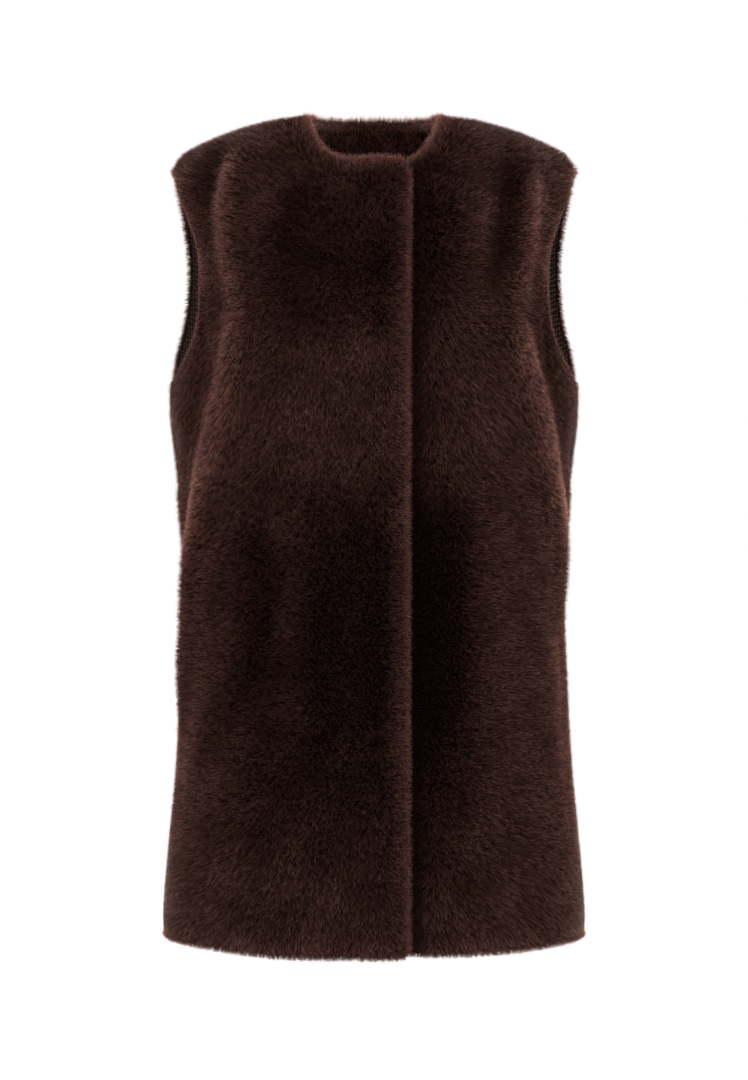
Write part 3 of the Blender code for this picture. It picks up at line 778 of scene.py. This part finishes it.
def spread(grid, count, weight):
    a, b = grid[:-1, :-1], grid[1:, 1:]
    c, d = grid[:-1, 1:], grid[1:, :-1]
    area = np.linalg.norm(np.cross(b - a, d - c), axis=2) / 2
    area = (area * weight((a + b) / 2)).reshape(-1)
    cell = np.searchsorted(np.cumsum(area) / area.sum(), random.random(count))
    cell = np.minimum(cell, len(area) - 1)
    columns = grid.shape[1] - 1
    return cell // columns, cell % columns, random.random(count), random.random(count)


def leanOf(panel, points, out):
    x, z = points[:, 0], points[:, 2]
    side = 1 if panel["face"] == "front" else -1
    down = unit(np.array([0, 0, -1.0]) - out * -out[:, 2:])
    across = np.cross(out, down) * side
    sideways, downwards = combAt(panel["face"], x, z)
    stray = fromTable(comb, combColumns, "z", "stray", z)
    lean = across * sideways[:, None] + down * downwards[:, None]
    for seed, way in ((1, across), (2, down)):
        soft = wander(points, pile["swaySize"], seed) * pile["sway"]
        soft = soft + wander(points, pile["clumpSize"], seed + 5) * pile["clump"]
        soft = (soft + wander(points, pile["tuftSize"], seed + 9) * pile["tuft"]) * stray / pile["usualStray"]
        lean = lean + way * (soft + random.normal(size=len(x)) * stray)[:, None]
    if panel["face"] == "front":
        for row in dimples:
            spot = dict(zip(dimpleColumns, row))
            away = np.stack([x - spot["x"], np.zeros_like(x), z - spot["z"]], 1)
            far = np.linalg.norm(away, axis=1)
            pull = spot["part"] * far / spot["radius"] * np.exp(0.5 - far ** 2 / spot["radius"] ** 2 / 2)
            lean = lean + unit(away) * (pull * (x < cut["overlapEdge"]))[:, None]
    return lean


# A blade's place on its material's map: from root to tip one way, the other its own shade with any painted light
# added
strandMap = {"root": 0.02, "tip": (0.3, 0.99), "shade": (0.01, 0.99), "across": 0.008}


def blades(name, roots, ways, lengths, out, tone, material, width=pile["width"], light=0):
    count = len(roots)
    turned = out + random.normal(size=(count, 3)) * pile["twist"]
    half = np.reshape(width, (-1, 1)) / 2 * random.uniform(*pile["widthSpread"], (count, 1))
    wide = unit(np.cross(ways, turned)) * half
    foot = roots - out * pile["sink"]
    tip = foot + ways * lengths[:, None]
    points = np.stack([foot - wide, foot + wide, tip], 1).astype(np.float32)
    mesh = bpy.data.meshes.new(name)
    mesh.vertices.add(3 * count)
    mesh.vertices.foreach_set("co", points.reshape(-1))
    mesh.loops.add(3 * count)
    mesh.loops.foreach_set("vertex_index", np.arange(3 * count, dtype=np.int32))
    mesh.polygons.add(count)
    mesh.polygons.foreach_set("loop_start", np.arange(0, 3 * count, 3, dtype=np.int32))
    # each blade's own random shade plus the painted light and shade passed in
    shade = np.clip(random.uniform(*strandMap["shade"], count) + light, *strandMap["shade"])
    uv = np.zeros((count, 3, 2), np.float32)
    uv[:, 0, 1], uv[:, 1, 1], uv[:, 2, 1] = shade - strandMap["across"], shade + strandMap["across"], shade
    uv[:, :2, 0] = strandMap["root"]
    uv[:, 2, 0] = np.clip(tone, *strandMap["tip"])
    layer = mesh.uv_layers.new(name="OFBake")
    layer.data.foreach_set("uv", uv.reshape(-1))
    mesh.update()
    piece = newObject(name, mesh, (material,))
    return piece


# One stretch of pile over a panel, rooted where weight says
def growPile(name, panel, count, weight):
    count = drawn(count)
    r, c, u, v = spread(panel["root"], count, weight)
    roots, out = between(panel["root"], r, c, u, v), unit(between(panel["standing"], r, c, u, v))
    high = between(panel["high"], r, c, u, v)
    roll = between(panel["roll"], r, c, u, v)
    near = np.minimum(np.linalg.norm(roll, axis=1) / cloth["edgeLean"], 1)
    trim = between(panel["trim"], r, c, u, v)
    still = np.maximum(pile["edgeStill"] * near, pile["trimStill"] * trim)
    lean = leanOf(panel, roots, out) * (1 - still)[:, None] + roll
    tilt = np.linalg.norm(lean, axis=1)
    lengths = np.minimum(high * np.sqrt(1 + tilt ** 2), cloth["pile"]) * random.uniform(*pile["lengthSpread"], count)
    guard = random.random(count) < pile["guardShare"] * (1 - near) * np.maximum(1 - pile["guardTrim"] * trim, 0)
    longer = np.where(guard, random.uniform(*pile["guardLength"], count), 1)
    lengths = lengths * (1 - pile["edgeShort"] * near) * (1 - pile["trimShort"] * trim) * longer
    width = pile["backWidth" if panel is backPanel else "width"] * np.where(guard, pile["guardWidth"], 1)
    tone = pile["tone"] + pile["toneDrift"] * wander(roots, pile["driftSize"], 21)
    tone = tone + random.normal(size=count) * pile["toneSpread"]
    fold = between(panel["fold"], r, c, u, v)
    skirt = 1 - pile["skirtShare"] * ease(-roots[:, 2], *pile["skirtSpan"])
    # Painted light: a highlight over ridges and free edges and painted shade in troughs, added to each blade's shade
    # and its tip's colour.
    light = pile["ridgePaintedLight"] * np.clip(fold / pile["ridgeFull"], 0, 1) ** 2 * skirt
    light = light - pile["troughPaintedShade"] * np.clip(-fold / pile["troughFull"], 0, 1) + pile["edgePaintedLight"] * near
    tone = tone + pile["tipPaintedLight"] * light
    # Painted shade: the left front is darker under and beside the right front's edge.
    if panel is leftPanel:
        tone = tone - pile["underlapPaintedShade"] * underlap(roots)
    return blades(name, roots, unit(out + lean), lengths, out, tone, modacrylicPile, width, light)


# The pile that rolls over the free edges: fibres fan from the face round to the edge.
def growRim(name, panel, count):
    count = drawn(count)
    root, inner, out = panel["root"], panel["inner"], panel["out"]
    skirt, tip = grids["skirtRows"], grids["skirtRows"] + grids["armholeRows"]
    lines = [(root[0], inner[0], out[0], root[0] - root[2], 1, rim["hemPaintedLight"])]
    lines.append((root[-1], inner[-1], out[-1], root[-1] - root[-3], rim["neckLong"], rim["neckPaintedLight"]))
    sides = [(-1, -3, slice(skirt, tip + 1))]
    sides += [(0, 2, slice(None) if panel["middles"] else slice(skirt, tip + 1))]
    for edge, beside, part in sides:
        long = (1 if edge == 0 else rim["frontArm"]) if panel["middles"] else rim["backArm"]
        outward = root[part, edge] - root[part, beside]
        lines.append((root[part, edge], inner[part, edge], out[part, edge], outward, long, rim["sidePaintedLight"]))
    length = np.array([np.linalg.norm(np.diff(line[0], axis=0), axis=1).sum() for line in lines])
    found = []
    for line, share in zip(lines, length / length.sum()):
        number = int(count * share)
        steps = np.linalg.norm(np.diff(line[0], axis=0), axis=1)
        i = np.minimum(np.searchsorted(np.cumsum(steps) / steps.sum(), random.random(number)), len(steps) - 1)
        u, t = random.random((number, 1)), random.random((number, 1))
        top, bottom, way, outward = (part[i] * (1 - u) + part[i + 1] * u for part in line[:4])
        found.append((top * (1 - t) + bottom * t, unit(way), unit(outward), t[:, 0], np.tile(line[4:], (number, 1))))
    roots, way, outward, t, look = (np.concatenate([part[k] for part in found]) for k in range(5))
    # each edge's painted highlight goes on to the blades as light
    long, light = look.T
    outward = unit(outward - way * (outward * way).sum(1, keepdims=True))
    turn = np.radians(random.uniform(*rim["fan"], len(roots)) + rim["fanMore"] * t)[:, None]
    ways = np.cos(turn) * way + np.sin(turn) * outward + np.array([0, 0, -rim["droop"]])
    ways = unit(ways + random.normal(size=ways.shape) * rim["stray"])
    lengths = cloth["edgeDraw"] * random.uniform(*rim["length"], len(roots)) * long
    tone = rim["tone"] + random.normal(size=len(roots)) * rim["toneSpread"]
    out = unit(way + outward)
    return blades(name, roots, ways, lengths, out, tone, modacrylicPile, pile["rimWidth"], light)


# Each panel's pile is two pieces, above and below the waist.
halves = {"waistZ": -0.44, "hiddenX": 0.022, "hiddenShare": 0.05}


def upper(points):
    return np.where(points[..., 2] > halves["waistZ"], 1.0, 0.0)


def lower(points):
    return 1 - upper(points)


# The left front needs few fibres where the right one covers it.
def showing(points):
    return np.where(points[..., 0] > halves["hiddenX"], 1.0, halves["hiddenShare"])


def leftUpper(points):
    return upper(points) * showing(points)


def leftLower(points):
    return lower(points) * showing(points)


rightFur = [
    growPile("right_front_pile_upper", rightPanel, pile["frontCount"] // 2, upper),
    growPile("right_front_pile_lower", rightPanel, pile["frontCount"] // 2, lower),
    growRim("right_front_pile_edges", rightPanel, pile["rimCount"]),
]
print("pile: right front")
leftFur = [
    growPile("left_front_pile_upper", leftPanel, pile["leftCount"] // 2, leftUpper),
    growPile("left_front_pile_lower", leftPanel, pile["leftCount"] // 2, leftLower),
    growRim("left_front_pile_edges", leftPanel, pile["rimCount"]),
]
print("pile: left front")
backFur = [
    growPile("back_pile_upper", backPanel, pile["backCount"] // 2, upper),
    growPile("back_pile_lower", backPanel, pile["backCount"] // 2, lower),
    growRim("back_pile_edges", backPanel, pile["rimCount"]),
]
print("pile: back")


def growFacing(name, count):
    count = drawn(count)
    r, c, u, v = spread(facingNear, count, lambda points: np.ones(points.shape[:-1]))
    roots, out = between(facingNear, r, c, u, v), -unit(between(facingOut, r, c, u, v))
    soft = np.stack([wander(roots, facing["clumpSize"], seed) for seed in (31, 32, 33)], 1)
    lean = np.array([0, 0, -facing["droop"]]) + soft * facing["clump"]
    ways = unit(out + lean + random.normal(size=roots.shape) * facing["stray"])
    lengths = (facing["wall"] - facing["backing"]) * random.uniform(*facing["length"], count)
    tone = facing["tone"] + random.normal(size=count) * facing["toneSpread"]
    return blades(name, roots, ways, lengths, out, tone, facingPilePaintedLight)


# The facing's own pile along the top, which closes the seam to the back
def growSeam(name, count):
    count = drawn(count)
    line, way = facingNear[-1], -facingOut[-1]
    i, u = random.integers(0, len(line) - 1, count), random.random((count, 1))
    depthIn = random.random((count, 1)) * facing["seamDepth"]
    down = unit(facingNear[-3] - facingNear[-1])
    roots = line[i] * (1 - u) + line[i + 1] * u + down[i] * depthIn
    ways = way[i] * random.uniform(*facing["seamOut"], (count, 1))
    ways = ways - down[i] * random.uniform(*facing["seamUp"], (count, 1))
    ways = unit(ways + random.normal(size=ways.shape) * facing["stray"])
    lengths = random.uniform(*facing["seamLength"], count)
    tone = facing["seamTone"] + random.normal(size=count) * facing["seamToneSpread"]
    return blades(name, roots, ways, lengths, way[i], tone, facingPilePaintedLight)


facingEdge = growSeam("back_neck_facing_pile_edge", facing["seamCount"])
facingFur = growFacing("back_neck_facing_pile", facing["count"])
print("pile: facing")

# The photograph's view, and its even white studio
view = {"distance": 2.8, "height": -0.44, "frameHeight": 1.145, "sensor": 24}
camera = bpy.data.objects.new("camera", bpy.data.cameras.new("camera"))
camera.data.sensor_fit = "VERTICAL"
camera.data.sensor_height = view["sensor"]
camera.data.lens = view["sensor"] * view["distance"] / view["frameHeight"]
camera.location = (0, -view["distance"], view["height"])
camera.rotation_euler = (math.pi / 2, 0, 0)
bpy.context.scene.collection.objects.link(camera)
bpy.context.scene.camera = camera


def softbox(name, place, target, size, power):
    light = bpy.data.lights.new(name, "AREA")
    light.shape = "RECTANGLE"
    light.size, light.size_y = size
    light.energy = power
    lamp = bpy.data.objects.new(name, light)
    lamp.location = place
    way = np.array(target) - np.array(place)
    lamp.rotation_euler = (math.acos(-way[2] / np.linalg.norm(way)), 0, math.atan2(way[1], way[0]) - math.pi / 2)
    lamp.visible_camera = False
    bpy.context.scene.collection.objects.link(lamp)


softboxColumns = ("name", "place", "target", "size", "power")
softboxes = (
    ("leftSide", (-2.3, -0.1, -0.3), (0, 0, -0.45), (0.7, 1.8), 38),
    ("rightSide", (2.3, -0.3, -0.3), (0, 0, -0.45), (0.7, 1.8), 40),
    ("leftBehind", (-1.3, 2.3, -0.2), (0, 0, -0.45), (0.8, 2.0), 120),
    ("rightBehind", (1.3, 2.3, -0.2), (0, 0, -0.45), (0.8, 2.0), 140),
    ("topBehind", (0, 1.3, 1.7), (0, 0, -0.1), (1.8, 0.8), 84),
    ("frontTop", (0.2, -1.9, 2.3), (0, 0, -0.3), (1.6, 1.0), 148),
)
for row in softboxes:
    softbox(**dict(zip(softboxColumns, row)))

# White paper, matt and even: it glows, but less under the vest, so that it is as white as the photograph's ground and
# doesn't light the hem
paper = {"half": 30, "z": -1.45}
floorCorners = [(x * paper["half"], y * paper["half"], paper["z"]) for x, y in ((-1, -1), (1, -1), (1, 1), (-1, 1))]
floorMesh = bpy.data.meshes.new("floor")
floorMesh.from_pydata(floorCorners, [], [(0, 1, 2, 3)])
paperFloor, paperTree, paperShader = newMaterial("paperFloor", 0.9)
paperShader.inputs["Base Color"].default_value = colour("#f7f7f7")
paperShader.inputs["Emission Color"].default_value = (1, 1, 1, 1)
floorPlace = addNode(paperTree, "ShaderNodeTexCoord")
floorFar = addNode(paperTree, "ShaderNodeVectorMath", {"operation": "LENGTH"}, {0: floorPlace.outputs["Object"]})
floorGlow = addNode(paperTree, "ShaderNodeMapRange", {"From Min": 1.2, "From Max": 2.6, "To Min": 0.45,
                    "To Max": 1.0}, {"Value": floorFar.outputs["Value"]})
paperTree.links.new(floorGlow.outputs["Result"], paperShader.inputs["Emission Strength"])
floorMesh.materials.append(paperFloor)
floor = bpy.data.objects.new("floor", floorMesh)
bpy.context.scene.collection.objects.link(floor)

# White round the level of the view, and dim above and below, so that the pile keeps its dark troughs
world = bpy.data.worlds.new("studio")
world.use_nodes = True
sky = world.node_tree
skyPlace = addNode(sky, "ShaderNodeTexCoord")
skyParts = addNode(sky, "ShaderNodeSeparateXYZ", links={"Vector": skyPlace.outputs["Generated"]})
skyHigh = addNode(sky, "ShaderNodeMath", {"operation": "ABSOLUTE"}, {0: skyParts.outputs["Z"]})
skyGlow = addNode(sky, "ShaderNodeMapRange", {"From Min": 0.215, "From Max": 0.38, "To Min": 1.02, "To Max": 0.08},
                  {"Value": skyHigh.outputs["Value"]})
sky.nodes["Background"].inputs["Color"].default_value = (1, 1, 1, 1)
sky.links.new(skyGlow.outputs["Result"], sky.nodes["Background"].inputs["Strength"])
bpy.context.scene.world = world
bpy.context.scene.view_settings.view_transform = "Standard"
print("stage: set")
